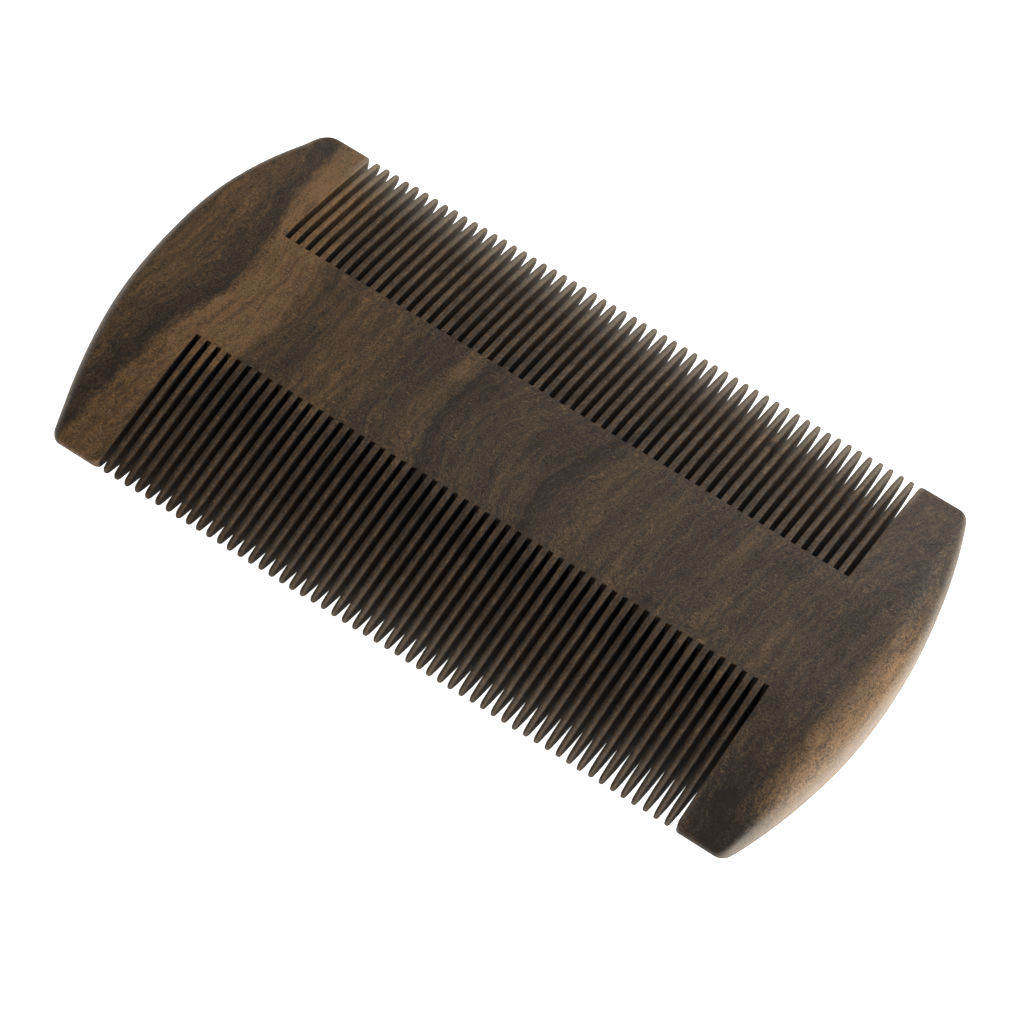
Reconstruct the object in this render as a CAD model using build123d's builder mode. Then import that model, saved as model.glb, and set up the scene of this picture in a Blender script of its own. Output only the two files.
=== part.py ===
"""Double-sided beard comb, sawn and sanded from one flat board of dark hardwood.

The board is thickest along its middle and is planed down on both faces, in a slight
curve, to the two rows of tooth tips. X runs along the comb, Y across it (along the teeth) and Z up
from the face it rests on. The origin is at the middle of that face.
"""

from build123d import *

import os
from math import sqrt

os.makedirs("parts", exist_ok=True)

# ---------------------------------------------------------------- driving sizes, mm
width = 55.0              # from tooth tips to tooth tips
thickness = 10.0          # of the flat spine
spine_width = 17.5        # the uncut band between the two rows
edge_thickness = 1.3      # of the planed board along the tooth tips
edge_rounding = 0.6       # of the two corners of that edge
slope_crown = 0.5         # how far a planed slope bulges, midway from spine to tips

tooth_count = 54          # in each row
pitch = 1.41              # from one tooth to the next
slot_width = 0.63         # of the saw cut between two teeth
tip_width = 0.46          # of a tooth where its rounded tip begins
straight_length = 15.0    # of a tooth, from its root, at full width

guard_reach = 11.4        # from the last slot out to the middle of the curved end
end_radius = 77.0         # of the curved ends, seen from above
end_shoulder = 3.0        # rounding of the curved ends' upper and lower edges
outer_corner = 3.4        # where a curved end meets the line of the tooth tips
inner_corner = 0.9        # where a guard meets that line beside the last slot

# ---------------------------------------------------------------- worked out from them
root_y = spine_width / 2                            # where the saw cuts stop
tip_y = width / 2
mid_z = thickness / 2
tooth_width = pitch - slot_width
guard_x = (tooth_count * pitch + slot_width) / 2    # one more slot beyond the last tooth
end_x = guard_x + guard_reach
end_axis_x = end_x - end_radius                     # centre of the right end's curve
corner_x = end_axis_x + sqrt(end_radius**2 - tip_y**2)


# ---------------------------------------------------------------- the planed board, end on
# Flat over the spine, then a slightly crowned slope on each face down to a rounded edge.
edge_z = edge_thickness / 2                         # above and below the board's middle
crown_y = (root_y + tip_y) / 2
crown_z = (mid_z + edge_z) / 2 + slope_crown
with BuildSketch(Plane.YZ) as board_section:
    with BuildLine():
        Line((0, thickness), (root_y, thickness))
        ThreePointArc((root_y, thickness), (crown_y, mid_z + crown_z), (tip_y, mid_z + edge_z))
        Line((tip_y, mid_z + edge_z), (tip_y, mid_z - edge_z))
        ThreePointArc((tip_y, mid_z - edge_z), (crown_y, mid_z - crown_z), (root_y, 0))
        Polyline((root_y, 0), (0, 0), (0, thickness))
    make_face()
    # the sketch's own X axis runs across the comb
    fillet(board_section.vertices().group_by(Axis.X)[-1], radius=edge_rounding)
    mirror(about=Plane.YZ)


# ---------------------------------------------------------------- spine
# The uncut band that the hand holds, from one guard to the other.
with BuildPart() as spine:
    with BuildSketch():
        Rectangle(2 * guard_x, spine_width)
    extrude(amount=thickness)


# ---------------------------------------------------------------- guards
# The solid ends. Each stands beside the last tooth of both rows and is curved outside.
with BuildPart() as right_guard:
    with BuildSketch():
        with BuildLine():
            Line((guard_x, -tip_y), (corner_x, -tip_y))
            ThreePointArc((corner_x, -tip_y), (end_x, 0), (corner_x, tip_y))
            Polyline((corner_x, tip_y), (guard_x, tip_y), (guard_x, -tip_y))
        outline = make_face()
        fillet(outline.vertices().group_by(Axis.X)[0], radius=inner_corner)
        fillet(outline.vertices().group_by(Axis.X)[-1], radius=outer_corner)
    slab = extrude(amount=thickness)
    rims = slab.faces().filter_by(Axis.Z).edges().filter_by(lambda e: e.center().X > corner_x)
    fillet(rims, radius=end_shoulder)
    extrude(board_section.sketch, amount=end_x, both=True, mode=Mode.INTERSECT)

# The comb looks the same from its other end, so the left guard is the right one turned round.
with BuildPart() as left_guard:
    add(right_guard.part, rotation=(0, 0, 180))


# ---------------------------------------------------------------- teeth
# Every tooth is a bar between two saw cuts. Its sides are straight, then curve in like a
# bullet's to a rounded tip.
round_y = tip_y - tip_width / 2                     # where the rounded tip begins
taper_y = root_y + straight_length
with BuildSketch() as tooth_outline:
    with BuildLine():
        Line((0, root_y), (tooth_width / 2, root_y))
        Line((tooth_width / 2, root_y), (tooth_width / 2, taper_y))
        TangentArc((tooth_width / 2, taper_y), (tip_width / 2, round_y), tangent=(0, 1))
        RadiusArc((tip_width / 2, round_y), (0, tip_y), -tip_width / 2)
        Line((0, tip_y), (0, root_y))
    make_face()
    mirror(about=Plane.YZ)

with BuildPart() as upper_teeth:
    with BuildSketch():
        with GridLocations(pitch, 0, tooth_count, 1):
            add(tooth_outline.sketch)
    extrude(amount=thickness)
    extrude(board_section.sketch, amount=guard_x, both=True, mode=Mode.INTERSECT)

with BuildPart() as lower_teeth:
    add(upper_teeth.part, rotation=(0, 0, 180))


# ---------------------------------------------------------------- one STEP file per node
nodes = {
    "spine": spine,
    "left_guard": left_guard,
    "right_guard": right_guard,
    "upper_teeth": upper_teeth,
    "lower_teeth": lower_teeth,
}
for name, node in nodes.items():
    node.part.label = name
    export_step(node.part, f"parts/{name}.step")
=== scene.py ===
from math import cos, pi, radians, sin, sqrt
from random import Random

import bmesh
import bpy
from mathutils import Matrix, Vector


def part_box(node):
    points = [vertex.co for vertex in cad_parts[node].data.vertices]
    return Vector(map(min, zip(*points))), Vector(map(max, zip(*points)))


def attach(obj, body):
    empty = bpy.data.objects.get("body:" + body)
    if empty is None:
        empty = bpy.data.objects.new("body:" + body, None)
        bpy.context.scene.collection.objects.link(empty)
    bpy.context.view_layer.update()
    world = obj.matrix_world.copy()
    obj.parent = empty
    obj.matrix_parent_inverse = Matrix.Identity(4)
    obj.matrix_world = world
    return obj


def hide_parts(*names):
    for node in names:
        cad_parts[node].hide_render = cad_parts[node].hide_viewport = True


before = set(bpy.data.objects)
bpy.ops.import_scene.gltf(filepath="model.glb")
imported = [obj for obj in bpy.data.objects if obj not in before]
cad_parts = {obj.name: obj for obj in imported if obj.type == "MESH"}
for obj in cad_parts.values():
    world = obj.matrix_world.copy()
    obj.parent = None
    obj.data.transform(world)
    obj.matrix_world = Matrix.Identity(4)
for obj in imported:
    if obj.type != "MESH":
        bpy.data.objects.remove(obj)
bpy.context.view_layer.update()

MM = 0.001
RANDOM = Random(11)

# ---------------------------------------------------------------- sizes, mm, as in the CAD
GUARD_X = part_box("spine")[1][0] / MM            # inner face of a guard
ROOT_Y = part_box("spine")[1][1] / MM             # where the saw cuts stop
TIP_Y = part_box("upper_teeth")[1][1] / MM
END_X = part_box("right_guard")[1][0] / MM
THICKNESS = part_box("spine")[1][2] / MM
MID_Z = THICKNESS / 2

TOOTH_COUNT = 54
PITCH = 1.41
SLOT_WIDTH = 0.63
TOOTH_WIDTH = PITCH - SLOT_WIDTH
EDGE_THICKNESS = 1.3                            # of the planed board at the tooth tips
SLOPE_CROWN = 0.5                               # how far a planed slope bulges, at its middle
SLOPE_LENGTH = TIP_Y - ROOT_Y
SLOPE_DROP = (THICKNESS - EDGE_THICKNESS) / 2
SHOULDER_REACH = 3.5                            # of the sanded-over line between flat and slope

END_RADIUS = 77.0
END_AXIS_X = END_X - END_RADIUS                 # centre of the right end's curve
INNER_CORNER = 0.9
TIP_BLUNTNESS = 0.2                             # share of the edge's height left at its very rim


def half_thickness(y):
    """Half of the sanded board's thickness at a distance y from its middle line."""
    from_root = abs(y) - ROOT_Y
    if from_root < -SHOULDER_REACH:
        planed = 0
    elif from_root < SHOULDER_REACH:            # sanded over where the slope begins
        planed = (from_root + SHOULDER_REACH) ** 2 / (4 * SHOULDER_REACH)
    else:
        planed = from_root
    share = planed / SLOPE_LENGTH
    half = MID_Z - SLOPE_DROP * share + 4 * SLOPE_CROWN * share * (1 - share)
    edge = EDGE_THICKNESS / 2
    to_tip = max(TIP_Y - abs(y), 0)
    if to_tip < edge:                           # rounded over to the line of the tips
        roundness = sqrt(1 - (1 - to_tip / edge) ** 2)
        half *= TIP_BLUNTNESS + (1 - TIP_BLUNTNESS) * roundness
    return half


# ---------------------------------------------------------------- mesh helpers
SHARP_ANGLE = radians(35)       # between faces that meet in an edge, not in a rounding


def loft(rings):
    """A closed skin over rings of points in mm, all with the same number of points."""
    mesh = bmesh.new()
    rows = [[mesh.verts.new(Vector(point) * MM) for point in ring] for ring in rings]
    count = len(rows[0])
    for row, following in zip(rows, rows[1:]):
        for i in range(count):
            j = (i + 1) % count
            mesh.faces.new((row[i], row[j], following[j], following[i]))
    mesh.faces.new(rows[0])
    mesh.faces.new(reversed(rows[-1]))
    bmesh.ops.recalc_face_normals(mesh, faces=mesh.faces)
    return mesh


def add_piece(name, meshes, node, material):
    """One object from one or more closed skins, standing for a CAD node."""
    data = bpy.data.meshes.new(name)
    whole = bmesh.new()
    for mesh in meshes:
        mesh.to_mesh(data)
        whole.from_mesh(data)
        mesh.free()
    whole.to_mesh(data)
    whole.free()
    data.materials.append(material)
    for polygon in data.polygons:
        polygon.use_smooth = True
    data.set_sharp_from_angle(angle=SHARP_ANGLE)
    piece = bpy.data.objects.new(name, data)
    bpy.context.scene.collection.objects.link(piece)
    normals = piece.modifiers.new("flat faces stay flat", "WEIGHTED_NORMAL")
    normals.weight = 100
    normals.keep_sharp = True
    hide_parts(node)
    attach(piece, "root")


def corner(x, z, radius, start, steps):
    """Points of a quarter turn about (x, z), from the angle start, in quarter turns."""
    angles = [(start + i / steps) * pi / 2 for i in range(steps + 1)]
    return [(x + radius * cos(angle), z + radius * sin(angle)) for angle in angles]


# ---------------------------------------------------------------- teeth
TAPER = 3.3                     # length over which a tooth narrows to its tip
TIP_HALF = 0.265                # half width where the rounded tip begins
TIP_NARROWEST = 0.25            # share of that half width left at the very end
ROOT_SOFTNESS = 0.04            # rounding of a tooth's long edges at its root
WORN_SOFTNESS = 0.3             # and how much more, where it is worn
WEAR_START = 0.4                # share of the slope by which the wear is complete
FULLEST = 0.93                  # share of a half size that a rounding may take
SHORTEST = 0.08                 # how much shorter hand finish leaves a tooth
LEAN = 0.04                     # how far it strays sideways
# Distances from the root: wide apart along the tooth, close together round the tip.
TOOTH_STEPS = [0, 0.5, 1.5, 3, 5, 7, 9, 11, 13, 14.5, 15.5, 16.3]
TOOTH_STEPS += [17, 17.6, 18.1, 18.4, 18.58, 18.7, SLOPE_LENGTH]


def tooth(x, side):
    """A tooth at x, in the row on that side, each a little different as hand finish leaves it."""
    width = TOOTH_WIDTH * (1 + RANDOM.uniform(-0.03, 0.03))
    short = RANDOM.uniform(0, SHORTEST)
    lean = RANDOM.uniform(-LEAN, LEAN)
    taper = TAPER * RANDOM.uniform(0.85, 1.2)
    tip_half = TIP_HALF * RANDOM.uniform(0.92, 1.1)
    rings = []
    for step in TOOTH_STEPS:
        share = step / SLOPE_LENGTH
        y = ROOT_Y + step - short * share**3
        to_tip = SLOPE_LENGTH - step
        half = width / 2
        if to_tip < taper:
            half = tip_half + (half - tip_half) * (1 - (1 - to_tip / taper) ** 2)
        if to_tip < tip_half:
            roundness = sqrt(1 - (1 - to_tip / tip_half) ** 2)
            half *= max(roundness, TIP_NARROWEST)
        tall = half_thickness(ROOT_Y + step)
        softness = ROOT_SOFTNESS + WORN_SOFTNESS * min(share / WEAR_START, 1)
        radius = min(softness, half * FULLEST, tall * FULLEST)
        middle = x + lean * share**2
        right = middle + half - radius
        left = middle - half + radius
        top = MID_Z + tall - radius
        low = MID_Z - tall + radius
        section = corner(right, top, radius, 0, 4)
        section += corner(left, top, radius, 1, 4)
        section += corner(left, low, radius, 2, 4)
        section += corner(right, low, radius, 3, 4)
        rings.append([(px, side * y, pz) for px, pz in section])
    return loft(rings)


def tooth_row(side):
    return [tooth((i - (TOOTH_COUNT - 1) / 2) * PITCH, side) for i in range(TOOTH_COUNT)]


# ---------------------------------------------------------------- spine
JOINED = 0.002                  # easing of an edge where two members meet
SLOT_EASING = 0.06              # and at the end of a saw cut
EASING_RUN = 0.02               # length over which one turns into the other
SPINE_YS = [8, 7, 6, 5, 4, 2, 0]


def spine_mesh():
    """The band between the guards. Its edges are sharp where teeth join, eased at each slot."""
    stations = [(-GUARD_X, JOINED)]
    for i in range(TOOTH_COUNT + 1):
        middle = (i - TOOTH_COUNT / 2) * PITCH
        start = max(middle - SLOT_WIDTH / 2, -GUARD_X + EASING_RUN)
        end = min(middle + SLOT_WIDTH / 2, GUARD_X - EASING_RUN)
        stations.append((start, JOINED))
        stations.append((start + EASING_RUN, SLOT_EASING))
        stations.append((end - EASING_RUN, SLOT_EASING))
        stations.append((end, JOINED))
    stations.append((GUARD_X, JOINED))
    root_z = MID_Z + half_thickness(ROOT_Y)
    rings = []
    for x, easing in stations:
        half_ys = [ROOT_Y - easing] + SPINE_YS
        ys = half_ys + [-y for y in reversed(half_ys[:-1])]
        ring = [(x, ROOT_Y, root_z - easing)]
        ring += [(x, y, MID_Z + half_thickness(y)) for y in ys]
        ring += [(x, -ROOT_Y, root_z - easing)]
        ring += [(x, -y, THICKNESS - z) for _, y, z in ring]
        rings.append(ring)
    return loft(rings)


# ---------------------------------------------------------------- guards
SLOT_SIDE_EASING = 0.13         # of a guard's long edges beside the last slot
EASING_REACH = 2.0              # length over which it grows from the spine outwards
FULL_EDGE = 0.8                 # share of the half thickness that a rounding may take
FULL_WIDTH = 0.45               # share of the guard's width that the outer rounding may take
# Distances from the middle line: close together at the root and round the corner.
GUARD_YS = [0, 2, 4, 5, 6, 7, 8, ROOT_Y, 9.2, 9.8, 11, 12, 13, 15, 17, 19, 21, 22.5, 23.5]
GUARD_YS += [24.3, 25, 25.5, 26, 26.4, 26.7, 26.95, 27.15, 27.3, 27.4, 27.46, TIP_Y]


def guard_mesh(side, upper_corner, lower_corner, end_rounding):
    """The solid end on that side, as slices across the comb from one corner to the other."""

    def outer_x(y):
        radius = upper_corner if y > 0 else lower_corner
        corner_y = TIP_Y - radius
        corner_x = END_AXIS_X + sqrt((END_RADIUS - radius) ** 2 - corner_y**2)
        if abs(y) < corner_y * END_RADIUS / (END_RADIUS - radius):
            return END_AXIS_X + sqrt(END_RADIUS**2 - y**2)
        return corner_x + sqrt(max(radius**2 - (abs(y) - corner_y) ** 2, 0))

    def inner_x(y):
        past = max(abs(y) - (TIP_Y - INNER_CORNER), 0)
        return GUARD_X + INNER_CORNER - sqrt(INNER_CORNER**2 - past**2)

    rings = []
    for y in [-y for y in reversed(GUARD_YS[1:])] + GUARD_YS:
        tall = half_thickness(y)
        outside = outer_x(y)
        inside = inner_x(y)
        rim = min(end_rounding, FULL_EDGE * tall, FULL_WIDTH * (outside - inside))
        past_root = min(max(abs(y) - ROOT_Y, 0) / EASING_REACH, 1)
        ease = min(JOINED + SLOT_SIDE_EASING * past_root, FULL_EDGE * tall)
        top = MID_Z + tall
        low = MID_Z - tall
        outer_edge = outside - rim
        inner_edge = inside + ease
        flat = [inner_edge + (outer_edge - inner_edge) * k / 4 for k in (1, 2, 3)]
        section = corner(outer_edge, top - rim, rim, 0, 10)
        section += [(x, top) for x in reversed(flat)]
        section += corner(inner_edge, top - ease, ease, 1, 3)
        section += corner(inner_edge, low + ease, ease, 2, 3)
        section += [(x, low) for x in flat]
        section += corner(outer_edge, low + rim, rim, 3, 10)
        rings.append([(side * px, y, pz) for px, pz in section])
    return loft(rings)


# ---------------------------------------------------------------- shader helpers
class Shader:
    """Short names for the nodes of one material. Arguments are numbers or sockets."""

    def __init__(self, name):
        self.material = bpy.data.materials.new(name)
        self.material.use_nodes = True
        self.tree = self.material.node_tree
        self.surface = self.tree.nodes["Principled BSDF"]

    def put(self, socket, value):
        if isinstance(value, bpy.types.NodeSocket):
            self.tree.links.new(value, socket)
        else:
            socket.default_value = value

    def math(self, operation, a, b=0.0):
        node = self.tree.nodes.new("ShaderNodeMath")
        node.operation = operation
        self.put(node.inputs[0], a)
        self.put(node.inputs[1], b)
        return node.outputs[0]

    def add(self, *values):
        total = values[0]
        for value in values[1:]:
            total = self.math("ADD", total, value)
        return total

    def times(self, a, b):
        return self.math("MULTIPLY", a, b)

    def take(self, a, b):
        return self.math("SUBTRACT", a, b)

    def size_of(self, value):
        return self.math("ABSOLUTE", value)

    def hypotenuse(self, a, b):
        return self.math("SQRT", self.add(self.times(a, a), self.times(b, b)))

    def split(self, vector):
        node = self.tree.nodes.new("ShaderNodeSeparateXYZ")
        self.put(node.inputs[0], vector)
        return node.outputs

    def noise(self, point, per_mm, detail=2.0, roughness=0.5):
        """Noise from 0 to 1 over a point in mm, with so many features a mm along x, y and z."""
        scaled = self.tree.nodes.new("ShaderNodeCombineXYZ")
        for socket, value, rate in zip(scaled.inputs, point, per_mm):
            self.put(socket, self.times(value, rate))
        node = self.tree.nodes.new("ShaderNodeTexNoise")
        node.inputs["Scale"].default_value = 1.0
        node.inputs["Detail"].default_value = detail
        node.inputs["Roughness"].default_value = roughness
        self.put(node.inputs["Vector"], scaled.outputs[0])
        return node.outputs[0]

    def swing(self, noise, depth):
        """Noise from 0 to 1 turned into a change by up to half of the depth, either way."""
        return self.times(self.take(noise, 0.5), depth)

    def spread(self, value, low, high, to_low=0.0, to_high=1.0, kind="SMOOTHSTEP"):
        """value from low..high mapped onto to_low..to_high, and held beyond."""
        node = self.tree.nodes.new("ShaderNodeMapRange")
        node.interpolation_type = kind
        node.clamp = True
        for socket, number in zip(node.inputs[:5], (value, low, high, to_low, to_high)):
            self.put(socket, number)
        return node.outputs[0]

    def ramp(self, value, stops):
        """Colour at value, from stops of (position from 0 to 1, (r, g, b))."""
        node = self.tree.nodes.new("ShaderNodeValToRGB")
        elements = node.color_ramp.elements
        elements[0].position = stops[0][0]
        elements[1].position = stops[-1][0]
        for position, _ in stops[1:-1]:
            elements.new(position)
        for element, (_, colour) in zip(elements, stops):
            element.color = (*colour, 1)
        self.put(node.inputs[0], value)
        return node.outputs[0]

    def curve(self, value, points):
        """Piecewise line through points of (value, result)."""
        first = points[0][0]
        last = points[-1][0]
        results = [result for _, result in points]
        low = min(results)
        high = max(results)
        stops = []
        for at, result in points:
            level = (result - low) / (high - low)
            stops.append(((at - first) / (last - first), (level, level, level)))
        grey = self.ramp(self.spread(value, first, last, kind="LINEAR"), stops)
        return self.add(self.times(grey, high - low), low)

    def mix(self, share, a, b, blend="MIX"):
        node = self.tree.nodes.new("ShaderNodeMix")
        node.data_type = "RGBA"
        node.blend_type = blend
        self.put(node.inputs[0], share)
        for socket, value in ((node.inputs[6], a), (node.inputs[7], b)):
            if not isinstance(value, bpy.types.NodeSocket):
                value = (*value, 1)
            self.put(socket, value)
        return node.outputs[2]

    def spot(self, x, y, centre, reach):
        """1 at the centre, fading to 0 over about twice the reach."""
        dx = self.times(self.take(x, centre[0]), 1 / reach[0])
        dy = self.times(self.take(y, centre[1]), 1 / reach[1])
        square = self.add(self.times(dx, dx), self.times(dy, dy))
        return self.math("EXPONENT", self.times(square, -1.0))


# ---------------------------------------------------------------- wood
# How light the wood is along the comb's middle line: x in mm, 0 nearly black to 1 tan.
FIGURE = [
    (-50, 0.54), (-46, 0.6), (-43, 0.54), (-41, 0.28), (-39.7, 0.22), (-38.6, 0.84), (-32.6, 0.82),
    (-30.7, 0.52), (-29.3, 0.36), (-27, 0.46), (-24, 0.58), (-19.7, 0.5), (-17, 0.4), (-14.4, 0.38),
    (-12.6, 0.54), (-11.2, 0.54), (-10.2, 0.16), (-8.5, 0.34), (-6.3, 0.44), (0, 0.43), (3.9, 0.38),
    (5.1, 0.12), (6.3, 0.34), (8.5, 0.5), (12.7, 0.44), (17, 0.48), (22.6, 0.34), (26, 0.5),
    (31.7, 0.38), (35.2, 0.47), (40.2, 0.36), (50, 0.5),
]
PLAIN_TONE = 0.48

# How strongly the grain lines bow to one side, and at which y they run straight along Y.
BOW = [
    (-50, -0.03), (-38, -0.038), (-30, -0.03), (-20, 0.0), (-12, 0.05), (5, 0.06), (20, 0.03),
    (50, 0.02),
]
BOW_Y = [(-50, 4), (-25, 3), (-10, 1.4), (5, -3.5), (50, -12)]
BOW_REACH = 8.0                 # from where the lines run straight to where they lean

WANDER = (0.12, 0.05, 0.1)      # long waves in the grain lines, a mm along x, y and z
WANDER_DEPTH = 3.0
RIPPLE = (0.7, 0.4, 0.7)        # and short ones
RIPPLE_DEPTH = 2.0
SLANT = 0.35                    # how far the figure shifts for each mm down into the board
# Streaks: how many a mm across and along the grain, and how much they change the tone.
STREAKS = [(0.5, 0.04, 0.4), (1.6, 0.12, 0.75), (3.5, 0.6, 0.6)]
PORES = (8.0, 3.5, 8.0)
PORE_DEPTH = 2.5
OVERALL_TONE = -0.025
TEETH_FADE = (7, 20)            # mm off the middle line over which the broad figure fades
GUARD_FADE = (36, 42)           # x between which that fading gives way to the guards'
FADES = (0.7, 0.1)              # how far the figure fades on the teeth and on the guards

# The tan crescent of sapwood along the right end.
SAPWOOD_TONE = 0.36
SAPWOOD_DEPTH = (2.0, 4.2)      # mm in from the rim, where it starts to fade and is gone
SAPWOOD_STRAY = 4.0             # how much that border wanders
SAPWOOD_BEGINS = (-27, -18)     # y over which it sets in
SAPWOOD_ENDS = (2, 12)          # and fades out again

# Redder wood and painted shade in the lower teeth: y over which each of the two sets in.
# painted shade: the lower teeth drawn darker, as their slope turns away from the light
LOWER_TEETH_SHADE_TONE = -0.15
LOWER_TEETH_SHADE_Y = -14
LOWER_TEETH_RED = -12
LEFT_RED = (-38, 5)             # x over which the left end's redness fades
LEFT_REDNESS = 0.75

# Real wear and painted sheen together, as a share of the pale worn colour.
WEAR_AND_SHEEN_FROM_Y = 19                 # y from which the teeth are worn and carry painted sheen, more and more towards the tips
UPPER_TIP_WEAR_AND_SHEEN = 0.58
LOWER_TIP_WEAR_AND_SHEEN = 0.2            # from the middle to the right
PLAIN_LOWER_TIPS_X = -35                # x at which the lower tips have neither wear nor painted sheen
GUARD_WEAR_AND_SHEEN = 0.05               # of the tips' wear and painted sheen, on the guards beside them
# pale rim along the ends: partly wear, partly a painted highlight
RIM_WEAR_AND_SHEEN = 0.4
RIM_WIDTH = 1.0

# Painted shade on the walls of the saw cuts, darkest near the roots where the spine shades them. In
# the lower row it ends sooner to the right.
SLOT_SHADE_X = (-25, 12)              # x between which that changes
SLOT_SHADE_REACH = (8.0, 5.3)         # mm past the root, at the left and at the right
SLOT_SHADE_SOFTNESS = (4.0, 0.5)      # of its end, likewise
LOWER_SLOT_SHADE = (0.96, 0.35)       # at the root and at the tips
UPPER_SLOT_SHADE = (0.85, 0.05)
UPPER_SLOT_SHADE_REACH = 9
FACING_X = (0.2, 0.8)           # how squarely a face looks along X: no wall, and a full wall
WALL_MARGIN = 0.1               # so that the guards' walls beside the last cuts count

SATIN = (0.62, 0.46)            # roughness in the pores and between them
CUT_WALL_ROUGHNESS = 0.35          # added on the walls of the saw cuts
SPECULAR = 0.2
PORE_BUMP = 0.03 * MM
PORE_BUMP_STRENGTH = 0.5

# Lighter and darker patches: centre, reach and change of tone.
PATCHES = [
    ((42, -24), (5, 6), -0.42),
    ((-39.5, 22), (1.6, 9), 0.28),
    ((-36, 20), (2.5, 9), 0.22),
    ((-42, -20), (4, 7), -0.12),
    ((22.1, 20.1), (1.7, 1.5), 0.4),            # a knot with a pit in its middle
    ((22.1, 20.1), (0.7, 0.6), -1.4),
    ((-40.5, -12.7), (0.3, 0.8), -0.4),
    ((-11, 5.2), (1.4, 1.6), 0.2),
]

# Colour at each tone.
TONES = [
    (0.0, (0.014, 0.0098, 0.0070)),
    (0.25, (0.028, 0.0190, 0.0125)),
    (0.5, (0.053, 0.0340, 0.0190)),
    (0.75, (0.096, 0.0570, 0.0280)),
    (1.0, (0.165, 0.0960, 0.0460)),
]
WARM_TINT = (1.0, 0.9, 0.72)
# pale colour that stands for both wear and painted sheen
WORN_AND_SHEEN_COLOUR = (0.24, 0.2, 0.15)
# colour of the painted shade in the saw cuts
PAINTED_SLOT_SHADE_COLOUR = (0.002, 0.0014, 0.001)


def grain_line(s, x, y, z, wander):
    """The x at which the bowed, wavy grain line through a point crosses the middle line."""
    stretch = s.times(s.take(y, s.curve(x, BOW_Y)), 1 / BOW_REACH)
    bow = s.times(s.take(s.hypotenuse(stretch, 1.0), 1.0), BOW_REACH**2)
    line = s.take(x, s.times(bow, s.curve(x, BOW)))
    line = s.add(line, s.swing(wander, WANDER_DEPTH))
    line = s.add(line, s.swing(s.noise((x, y, z), RIPPLE, 3), RIPPLE_DEPTH))
    return s.add(line, s.times(s.take(z, THICKNESS), SLANT))


def figure_tone(s, x, y, z, line, pores):
    """How light the wood is: broad figure, faded off the middle, then streaks and patches."""
    off_middle = s.spread(s.size_of(y), *TEETH_FADE)
    faded = s.times(off_middle, s.spread(s.size_of(x), *GUARD_FADE, *FADES))
    figure = s.curve(line, FIGURE)
    tone = s.add(figure, s.times(faded, s.take(PLAIN_TONE, figure)))
    for wide, long, depth in STREAKS:
        tone = s.add(tone, s.swing(s.noise((line, y, z), (wide, long, wide)), depth))
    for centre, reach, change in PATCHES:
        tone = s.add(tone, s.times(s.spot(x, y, centre, reach), change))
    return s.add(tone, s.swing(pores, PORE_DEPTH))


def sapwood(s, x, y, from_rim, wander):
    """1 in a tan crescent along the right end, 0 elsewhere."""
    inward = s.add(from_rim, s.swing(wander, SAPWOOD_STRAY))
    near_rim = s.spread(inward, *SAPWOOD_DEPTH, 1.0, 0.0)
    crescent = s.times(near_rim, s.math("GREATER_THAN", x, 0.0))
    along_rim = s.times(s.spread(y, *SAPWOOD_BEGINS), s.spread(y, *SAPWOOD_ENDS, 1.0, 0.0))
    return s.times(crescent, along_rim)


def wear_and_sheen(s, x, y, from_rim, upper, lower, pores):
    """How worn the surface is and how much painted sheen it carries: the tooth tips most, then the
    ends' outer edges.
    """
    lower_wear_and_sheen = s.spread(x, PLAIN_LOWER_TIPS_X, 0, 0.0, LOWER_TIP_WEAR_AND_SHEEN)
    tip_wear_and_sheen = s.add(s.times(upper, UPPER_TIP_WEAR_AND_SHEEN), s.times(lower, lower_wear_and_sheen))
    on_teeth = s.spread(s.size_of(x), GUARD_X, GUARD_X + 1, 1.0, GUARD_WEAR_AND_SHEEN)
    tips = s.times(s.spread(s.size_of(y), WEAR_AND_SHEEN_FROM_Y, TIP_Y), s.times(tip_wear_and_sheen, on_teeth))
    rim = s.spread(from_rim, 0.0, RIM_WIDTH, RIM_WEAR_AND_SHEEN, 0.0)
    less_in_pores = s.spread(pores, 0.3, 0.6, 0.6, 1.0)
    return s.times(s.math("MAXIMUM", rim, tips), less_in_pores)


def painted_slot_shade(s, x, y, upper, lower):
    """How much painted shade darkens a saw cut's wall: most of all near the root."""
    depth = s.take(s.size_of(y), ROOT_Y)
    reach = s.spread(x, *SLOT_SHADE_X, *SLOT_SHADE_REACH)
    softness = s.spread(x, *SLOT_SHADE_X, *SLOT_SHADE_SOFTNESS)
    past = s.math("DIVIDE", s.take(depth, reach), softness)
    lower_slot_shade = s.spread(past, -1, 1, *LOWER_SLOT_SHADE)
    upper_slot_shade = s.spread(depth, 0, UPPER_SLOT_SHADE_REACH, *UPPER_SLOT_SHADE)
    return s.add(s.times(upper, upper_slot_shade), s.times(lower, lower_slot_shade))


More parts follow.
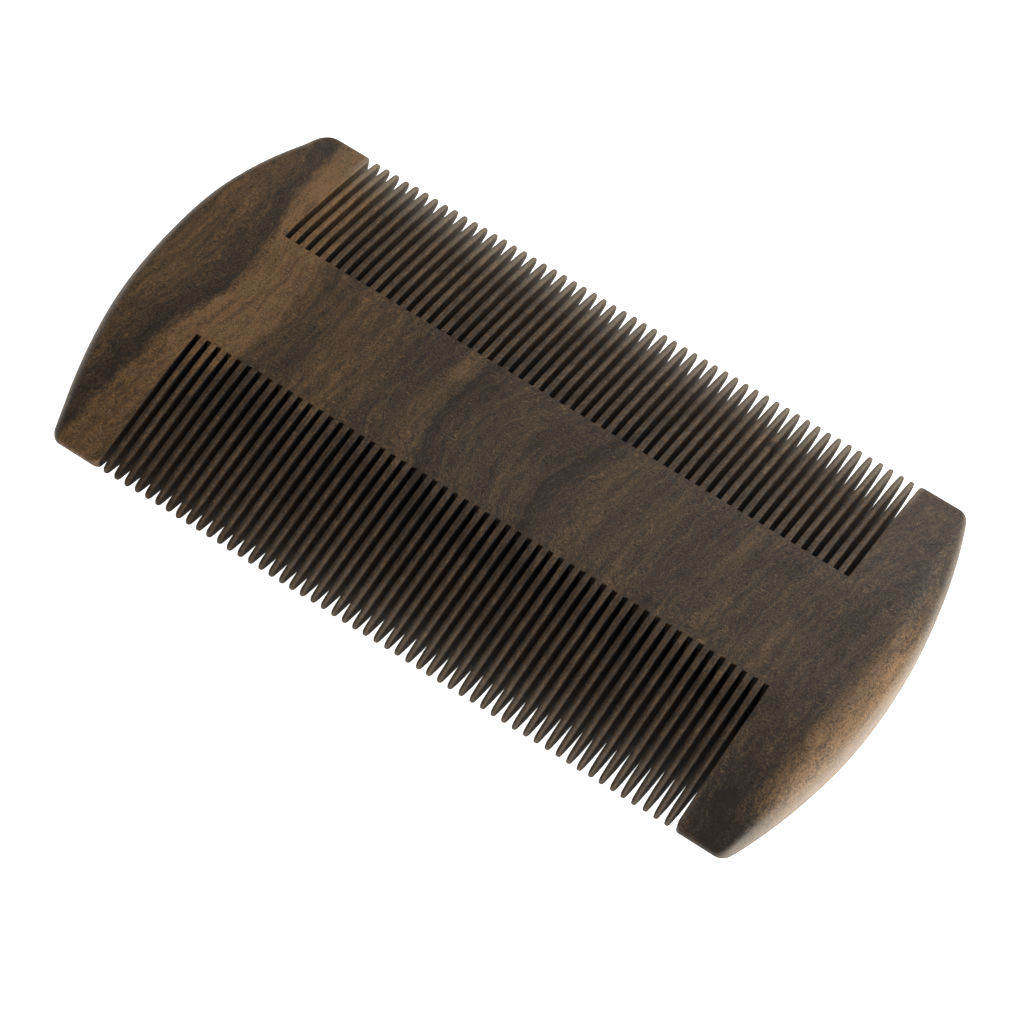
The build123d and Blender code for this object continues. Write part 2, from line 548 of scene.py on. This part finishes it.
def wood():
    s = Shader("oiled dark hardwood")
    place = s.tree.nodes.new("ShaderNodeTexCoord")
    x, y, z = (s.times(axis, 1 / MM) for axis in s.split(place.outputs["Object"]))
    facing_x = s.split(place.outputs["Normal"])[0]

    # where on the comb the point is
    upper = s.math("GREATER_THAN", y, 0.0)
    lower = s.take(1.0, upper)
    between_guards = s.math("LESS_THAN", s.size_of(x), GUARD_X + WALL_MARGIN)
    cut_wall = s.times(s.spread(s.size_of(facing_x), *FACING_X), between_guards)
    from_rim = s.take(END_RADIUS, s.hypotenuse(s.take(s.size_of(x), END_AXIS_X), y))

    # tone and colour
    wander = s.noise((x, y, z), WANDER, 3)
    line = grain_line(s, x, y, z, wander)
    pores = s.noise((line, y, z), PORES, 3, 0.8)
    # painted shade on the lower teeth
    lower_teeth_shade_ramp = s.spread(y, LOWER_TEETH_SHADE_Y, -ROOT_Y, LOWER_TEETH_SHADE_TONE, 0.0)
    lower_teeth_shade = s.times(between_guards, lower_teeth_shade_ramp)
    lighter = s.times(sapwood(s, x, y, from_rim, wander), SAPWOOD_TONE)
    tone = s.add(figure_tone(s, x, y, z, line, pores), lower_teeth_shade, lighter, OVERALL_TONE)
    colour = s.ramp(tone, TONES)

    # redder towards the left end and in the lower teeth
    lower_teeth = s.times(between_guards, s.spread(y, LOWER_TEETH_RED, -ROOT_Y, 1.0, 0.0))
    warmth = s.math("MAXIMUM", s.spread(x, *LEFT_RED, LEFT_REDNESS, 0.0), lower_teeth)
    colour = s.mix(warmth, colour, s.mix(1.0, colour, WARM_TINT, "MULTIPLY"))

    # paler where hands and hair wear it and where painted sheen lies, painted shade on the walls of
    # the saw cuts
    colour = s.mix(wear_and_sheen(s, x, y, from_rim, upper, lower, pores), colour, WORN_AND_SHEEN_COLOUR)
    # painted shade in the saw cuts, near the roots where the spine shades them
    slot_shade = s.times(cut_wall, painted_slot_shade(s, x, y, upper, lower))
    s.put(s.surface.inputs["Base Color"], s.mix(slot_shade, colour, PAINTED_SLOT_SHADE_COLOUR))

    # satin where it is handled, duller in the pores and the saw cuts
    satin = s.spread(pores, 0.3, 0.7, *SATIN)
    s.put(s.surface.inputs["Roughness"], s.add(satin, s.times(cut_wall, CUT_WALL_ROUGHNESS)))
    s.surface.inputs["Specular IOR Level"].default_value = SPECULAR
    bump = s.tree.nodes.new("ShaderNodeBump")
    bump.inputs["Distance"].default_value = PORE_BUMP
    bump.inputs["Strength"].default_value = PORE_BUMP_STRENGTH
    s.put(bump.inputs["Height"], pores)
    s.put(s.surface.inputs["Normal"], bump.outputs[0])
    return s.material


WOOD = wood()
add_piece("comb_spine", [spine_mesh()], "spine", WOOD)
left_guard = guard_mesh(-1, upper_corner=3.0, lower_corner=1.6, end_rounding=1.5)
right_guard = guard_mesh(1, upper_corner=2.0, lower_corner=2.0, end_rounding=3.4)
add_piece("comb_left_guard", [left_guard], "left_guard", WOOD)
add_piece("comb_right_guard", [right_guard], "right_guard", WOOD)
add_piece("comb_upper_teeth", tooth_row(1), "upper_teeth", WOOD)
add_piece("comb_lower_teeth", tooth_row(-1), "lower_teeth", WOOD)


# ---------------------------------------------------------------- floor
FLOOR_REACH = 6.0               # m, each way from the comb
FLOOR_GAP = 0.02 * MM           # keeps it clear of the face that the comb rests on


def make_floor():
    corners = [(-1, -1), (1, -1), (1, 1), (-1, 1)]
    data = bpy.data.meshes.new("floor")
    data.from_pydata([(x * FLOOR_REACH, y * FLOOR_REACH, 0) for x, y in corners], [], [range(4)])
    floor = bpy.data.objects.new("floor", data)
    floor.location.z = -FLOOR_GAP
    bpy.context.scene.collection.objects.link(floor)
    s = Shader("pale floor")
    s.surface.inputs["Base Color"].default_value = (0.9, 0.9, 0.9, 1)
    s.surface.inputs["Roughness"].default_value = 0.8
    s.surface.inputs["Emission Color"].default_value = (1, 1, 1, 1)
    s.surface.inputs["Emission Strength"].default_value = 1.0
    data.materials.append(s.material)


make_floor()


# ---------------------------------------------------------------- light
WORLD_STRENGTH = 0.15
# name, azimuth (0 is behind the comb, 90 to its right), elevation, distance and size in m, power
LIGHTS = [
    ("back softbox", 20, 40, 0.6, 0.35, 3.1),
    ("front fill", 200, 65, 0.9, 0.6, 0.5),
    ("low side softbox", 105, 8, 0.5, 0.3, 6.0),
    ("left rim light", -75, 10, 0.6, 0.3, 1.5),
]


def area_light(name, azimuth, elevation, distance, size, power):
    """A square soft light, aimed at the comb."""
    az = radians(azimuth)
    el = radians(elevation)
    toward = Vector((sin(az) * cos(el), cos(az) * cos(el), sin(el)))
    data = bpy.data.lights.new(name, "AREA")
    data.size = size
    data.energy = power
    light = bpy.data.objects.new(name, data)
    light.location = toward * distance
    light.rotation_euler = toward.to_track_quat("Z", "Y").to_euler()
    bpy.context.scene.collection.objects.link(light)


def make_light():
    scene = bpy.context.scene
    scene.view_settings.view_transform = "Standard"
    world = bpy.data.worlds.new("studio")
    world.use_nodes = True
    sky = world.node_tree.nodes["Background"]
    sky.inputs["Color"].default_value = (1, 1, 1, 1)
    sky.inputs["Strength"].default_value = WORLD_STRENGTH
    scene.world = world
    for light in LIGHTS:
        area_light(*light)


make_light()


# ---------------------------------------------------------------- camera
# The angles and distance from which the comb is seen, lying flat on its face.
AZIMUTH = radians(22.733)       # from straight in front, towards the right end
ELEVATION = radians(56.823)
ROLL = radians(-12.219)
DISTANCE = 403.3 * MM
AIM = Vector((3.55 * MM, -7.11 * MM, THICKNESS * MM))
FOCAL_LENGTH = 127.2            # mm
SENSOR_WIDTH = 36


def make_camera():
    back = Vector((
        cos(ELEVATION) * sin(AZIMUTH),
        -cos(ELEVATION) * cos(AZIMUTH),
        sin(ELEVATION),
    ))
    right = (-back).cross(Vector((0, 0, 1))).normalized()
    up = back.cross(right)
    x_axis = cos(ROLL) * right - sin(ROLL) * up
    y_axis = sin(ROLL) * right + cos(ROLL) * up
    data = bpy.data.cameras.new("camera")
    data.lens = FOCAL_LENGTH
    data.sensor_width = SENSOR_WIDTH
    camera = bpy.data.objects.new("camera", data)
    turn = Matrix((x_axis, y_axis, back)).transposed().to_4x4()
    camera.matrix_world = Matrix.Translation(AIM + DISTANCE * back) @ turn
    bpy.context.scene.collection.objects.link(camera)
    bpy.context.scene.camera = camera


make_camera()
